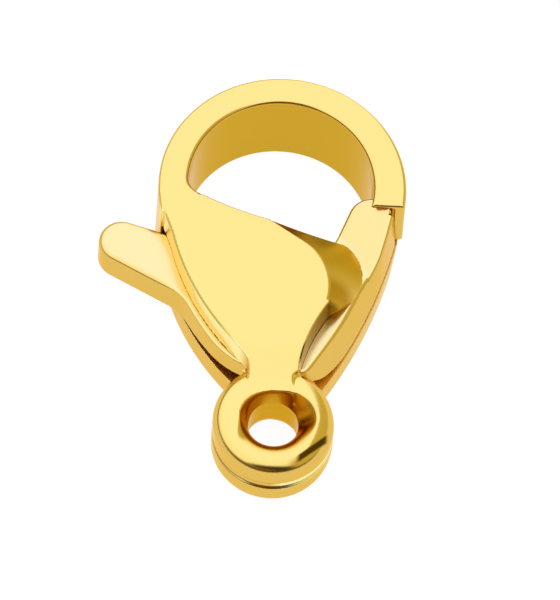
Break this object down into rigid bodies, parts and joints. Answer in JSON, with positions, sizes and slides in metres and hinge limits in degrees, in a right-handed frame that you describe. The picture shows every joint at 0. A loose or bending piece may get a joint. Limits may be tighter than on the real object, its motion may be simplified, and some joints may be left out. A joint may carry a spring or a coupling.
{
  "type": "lobster clasp",
  "caption": "Jewellery lobster clasp with a round hook, a sprung gate lever with a thumb tab, and a ring eye for a link.",
  "frame": {"origin": "the middle of the ring's eye, half the clasp's thickness above the back face that it lies on", "axes": "+Y from the ring to the hook, +Z out of the front face, -X towards the thumb tab"},
  "size_m": [0.0106, 0.015, 0.0038],
  "materials": {
    "gold_metal": "polished gold plating",
    "gold_lever": "polished gold plating",
    "pin_metal": "plain drawn steel"
  },
  "bodies": {
    "frame": {"body": "gold_metal", "pivot_pin": "pin_metal"},
    "gate": {"lever": "gold_lever"}
  },
  "joints": [
    {"name": "gate_hinge", "type": "hinge", "parent": "frame", "child": "gate", "pos_m": [0.0002, 0.00505, 0], "axis": [0, 0, 1], "range_deg": [0, 18], "stiffness_Nm_per_rad": 0.004, "springref_deg": -8.59}
  ]
}
